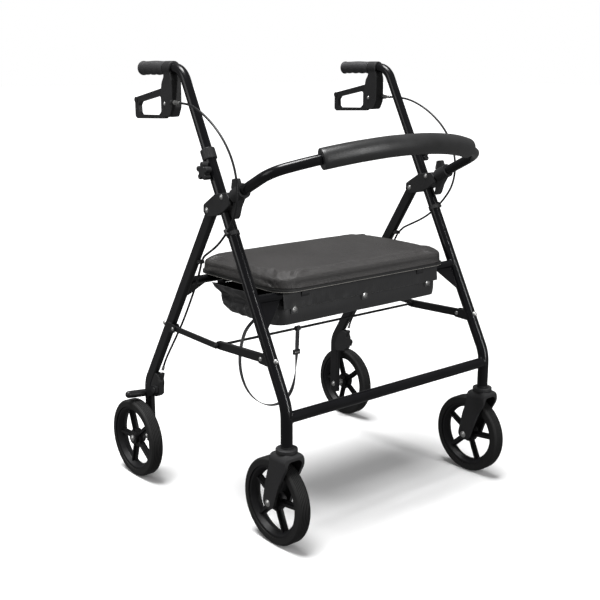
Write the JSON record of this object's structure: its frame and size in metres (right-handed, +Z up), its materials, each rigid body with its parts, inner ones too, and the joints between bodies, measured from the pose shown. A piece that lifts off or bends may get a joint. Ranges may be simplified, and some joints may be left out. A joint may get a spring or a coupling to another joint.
{
  "type": "rollator walker",
  "caption": "Folding wheeled walking frame with padded seat, bowed backrest, height-adjustable brake handles, swivelling front wheels and an under-seat bag.",
  "frame": {"origin": "on the floor under the middle of the whole object's box", "axes": "+Z up, +Y towards the user behind the walker, +X to the user's left"},
  "size_m": [0.742, 0.6915, 0.9911],
  "materials": {
    "frame_paint": "gloss black powder coat",
    "satin_steel": "satin black enamel on flat steel",
    "moulding": "fine textured black nylon",
    "lever_plastic": "smooth black nylon",
    "grip_rubber": "ribbed soft black rubber",
    "tyre": "grooved dark grey polyurethane tread",
    "rim": "moulded black nylon",
    "bush": "grey acetal",
    "zinc": "bright zinc plated",
    "seat_vinyl": "fine grained black vinyl",
    "board": "black painted plywood",
    "foam": "satin black closed cell foam",
    "nylon_cloth": "woven black nylon",
    "webbing": "black polyester webbing",
    "cable_sheath": "smooth black cable sheath"
  },
  "bodies": {
    "front_frame": {"front_leg_left": "frame_paint", "front_leg_right": "frame_paint", "lower_crossbar": "frame_paint", "seat_front_crossbar": "frame_paint", "hinge_brackets": "moulding", "height_collars": "moulding", "backrest_tube": "frame_paint", "backrest_pad": "foam", "backrest_sockets": "moulding", "front_link_clevises": "satin_steel", "stem_bearings": "moulding", "front_frame_bolts": "zinc", "front_cable_clips": "moulding", "storage_bag": "nylon_cloth", "fold_strap": "webbing", "strap_slide": "moulding", "brake_cables": "cable_sheath"},
    "handle_left": {"handle_tube_left": "frame_paint", "hand_grip_left": "grip_rubber", "brake_housing_left": "moulding", "brake_hardware_left": "zinc"},
    "lever_left": {"brake_lever_left": "lever_plastic"},
    "knob_left": {"height_knob_left": "moulding"},
    "fork_left": {"caster_fork_left": "moulding", "caster_hardware_left": "zinc"},
    "caster_wheel_left": {"caster_rim_left": "rim", "caster_tyre_left": "tyre", "caster_bush_left": "bush"},
    "rear_wheel_left": {"rear_rim_left": "rim", "rear_tyre_left": "tyre", "rear_bush_left": "bush"},
    "brake_arm_left": {"brake_arm_left": "satin_steel"},
    "handle_right": {"handle_tube_right": "frame_paint", "hand_grip_right": "grip_rubber", "brake_housing_right": "moulding", "brake_hardware_right": "zinc"},
    "lever_right": {"brake_lever_right": "lever_plastic"},
    "knob_right": {"height_knob_right": "moulding"},
    "fork_right": {"caster_fork_right": "moulding", "caster_hardware_right": "zinc"},
    "caster_wheel_right": {"caster_rim_right": "rim", "caster_tyre_right": "tyre", "caster_bush_right": "bush"},
    "rear_wheel_right": {"rear_rim_right": "rim", "rear_tyre_right": "tyre", "rear_bush_right": "bush"},
    "brake_arm_right": {"brake_arm_right": "satin_steel"},
    "rear_frame": {"rear_leg_left": "satin_steel", "rear_leg_right": "satin_steel", "seat_rear_crossbar": "frame_paint", "rear_link_clevises": "satin_steel", "rear_bolts": "zinc", "rear_cable_clips": "moulding", "brake_mounts": "moulding", "leg_cables": "cable_sheath"},
    "front_brace": {"front_links_and_rod": "satin_steel"},
    "rear_brace": {"rear_links": "satin_steel"},
    "seat": {"seat_cushion": "seat_vinyl", "seat_board": "board", "seat_hinge_clips": "moulding"}
  },
  "joints": [
    {"name": "fold", "type": "hinge", "parent": "front_frame", "child": "rear_frame", "pos_m": [0, -0.036, 0.684], "axis": [-1, 0, 0], "range_deg": [0, 34], "deforming": ["storage_bag", "fold_strap", "strap_slide", "brake_cables"]},
    {"name": "front_brace_pivot", "type": "hinge", "parent": "front_frame", "child": "front_brace", "pos_m": [0, -0.203, 0.393], "axis": [1, 0, 0], "range_deg": [0, 56]},
    {"name": "rear_brace_pivot", "type": "hinge", "parent": "rear_frame", "child": "rear_brace", "pos_m": [0, 0.117, 0.392], "axis": [-1, 0, 0], "range_deg": [0, 47]},
    {"name": "seat_hinge", "type": "hinge", "parent": "front_frame", "child": "seat", "pos_m": [0, -0.17628, 0.511], "axis": [1, 0, 0], "range_deg": [0, 61]},
    {"name": "height_left", "type": "slide", "parent": "front_frame", "child": "handle_left", "axis": [0, 0.4617, 0.887], "range_m": [-0.125, 0], "deforming": ["brake_cables"]},
    {"name": "brake_squeeze_left", "type": "hinge", "parent": "handle_left", "child": "lever_left", "pos_m": [0.306, 0.12, 0.9], "axis": [1, 0, 0], "range_deg": [0, 14], "stiffness_Nm_per_rad": 1.5, "springref_deg": -8.59},
    {"name": "knob_turn_left", "type": "hinge", "parent": "front_frame", "child": "knob_left", "pos_m": [0.306, -0.04303, 0.76697], "axis": [1, 0, 0], "range_deg": [0, 360]},
    {"name": "caster_swivel_left", "type": "hinge", "parent": "front_frame", "child": "fork_left", "pos_m": [0.306, -0.283, 0.2], "axis": [0, 0, 1], "continuous": true},
    {"name": "caster_roll_left", "type": "hinge", "parent": "fork_left", "child": "caster_wheel_left", "pos_m": [0.306, -0.25, 0.095], "axis": [1, 0, 0], "continuous": true},
    {"name": "rear_roll_left", "type": "hinge", "parent": "rear_frame", "child": "rear_wheel_left", "pos_m": [0.344, 0.25, 0.095], "axis": [1, 0, 0], "continuous": true},
    {"name": "brake_press_left", "type": "hinge", "parent": "rear_frame", "child": "brake_arm_left", "pos_m": [0.306, 0.206, 0.222], "axis": [-1, 0, 0], "range_deg": [0, 2.8]},
    {"name": "height_right", "type": "slide", "parent": "front_frame", "child": "handle_right", "axis": [0, 0.4617, 0.887], "range_m": [-0.125, 0], "deforming": ["brake_cables"]},
    {"name": "brake_squeeze_right", "type": "hinge", "parent": "handle_right", "child": "lever_right", "pos_m": [-0.306, 0.12, 0.9], "axis": [1, 0, 0], "range_deg": [0, 14], "stiffness_Nm_per_rad": 1.5, "springref_deg": -8.59},
    {"name": "knob_turn_right", "type": "hinge", "parent": "front_frame", "child": "knob_right", "pos_m": [-0.306, -0.04303, 0.76697], "axis": [1, 0, 0], "range_deg": [0, 360]},
    {"name": "caster_swivel_right", "type": "hinge", "parent": "front_frame", "child": "fork_right", "pos_m": [-0.306, -0.283, 0.2], "axis": [0, 0, 1], "continuous": true},
    {"name": "caster_roll_right", "type": "hinge", "parent": "fork_right", "child": "caster_wheel_right", "pos_m": [-0.306, -0.25, 0.095], "axis": [1, 0, 0], "continuous": true},
    {"name": "rear_roll_right", "type": "hinge", "parent": "rear_frame", "child": "rear_wheel_right", "pos_m": [-0.344, 0.25, 0.095], "axis": [1, 0, 0], "continuous": true},
    {"name": "brake_press_right", "type": "hinge", "parent": "rear_frame", "child": "brake_arm_right", "pos_m": [-0.306, 0.206, 0.222], "axis": [-1, 0, 0], "range_deg": [0, 2.8]}
  ],
  "couplings": [
    {"joint": "front_brace_pivot", "follows": "fold", "ratio": 1.6047},
    {"joint": "rear_brace_pivot", "follows": "fold", "ratio": 1.3339},
    {"joint": "seat_hinge", "follows": "fold", "ratio": 1.7647},
    {"joint": "brake_press_left", "follows": "brake_squeeze_left", "ratio": 0.18571},
    {"joint": "brake_press_right", "follows": "brake_squeeze_right", "ratio": 0.18571}
  ]
}
